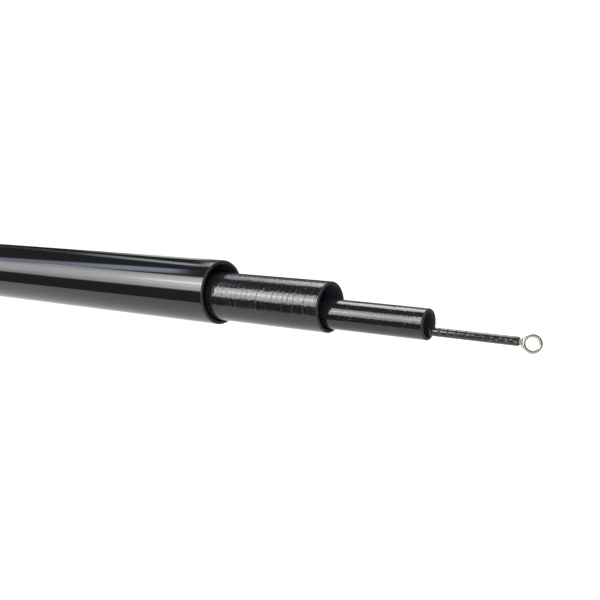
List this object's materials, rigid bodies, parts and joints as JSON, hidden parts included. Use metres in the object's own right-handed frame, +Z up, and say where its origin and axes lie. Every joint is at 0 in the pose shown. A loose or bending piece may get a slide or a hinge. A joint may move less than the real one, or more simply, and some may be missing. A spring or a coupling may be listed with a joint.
{
  "type": "telescopic pole rod",
  "caption": "Telescopic pole rod: tapered black carbon tubes that slide out of one another, a fluted screw cap at the butt and a metal tip ring for the line.",
  "frame": {"origin": "centre of the flat rear face of the rubber button on the butt cap", "axes": "+X along the rod from the butt to the tip, +Z up as the pushed-in rod lies in the picture"},
  "size_m": [1.1154, 0.0252, 0.0252],
  "materials": {
    "butt_lacquer": "gloss black lacquer over carbon",
    "ringed_carbon": "black carbon with fine rings left by the moulding tape, half gloss",
    "fine_carbon": "smooth black carbon, half gloss",
    "tip_carbon": "smooth black carbon, half gloss",
    "whipping_varnish": "wound black thread under uneven gloss varnish",
    "ring_steel": "polished",
    "frame_steel": "bright, with brazed joints",
    "cap_metal": "black anodised satin",
    "collar_metal": "dark anodised satin",
    "seal_rubber": "matte",
    "button_rubber": "matte",
    "pad_rubber": "soft, fine grained"
  },
  "bodies": {
    "butt": {"butt_tube": "butt_lacquer", "thread_collar": "collar_metal"},
    "section_2": {"section_2_tube": "ringed_carbon"},
    "section_3": {"section_3_tube": "fine_carbon"},
    "tip": {"tip_tube": "tip_carbon", "tip_whipping": "whipping_varnish", "tip_ring_frame": "frame_steel", "tip_ring": "ring_steel"},
    "pad": {"cap_pad": "pad_rubber"},
    "cap": {"butt_cap": "cap_metal", "cap_o_ring": "seal_rubber", "cap_button": "button_rubber"}
  },
  "joints": [
    {"name": "section_2_slide", "type": "slide", "parent": "butt", "child": "section_2", "axis": [1, 0, 0.0013], "range_m": [0, 0.9124]},
    {"name": "section_3_slide", "type": "slide", "parent": "section_2", "child": "section_3", "axis": [1, 0, 0.0014], "range_m": [0, 0.9621]},
    {"name": "tip_slide", "type": "slide", "parent": "section_3", "child": "tip", "axis": [1, 0, 0.0014], "range_m": [0, 1.0074]},
    {"name": "cap_draw", "type": "slide", "parent": "butt", "child": "pad", "axis": [-1, 0, 0], "range_m": [0, 0.012]},
    {"name": "cap_turn", "type": "hinge", "parent": "pad", "child": "cap", "pos_m": [0, 0, 0], "axis": [-1, 0, 0], "range_deg": [0, 2880]}
  ],
  "couplings": [
    {"joint": "cap_draw", "follows": "cap_turn", "m_per_rad": 0.00023873}
  ]
}
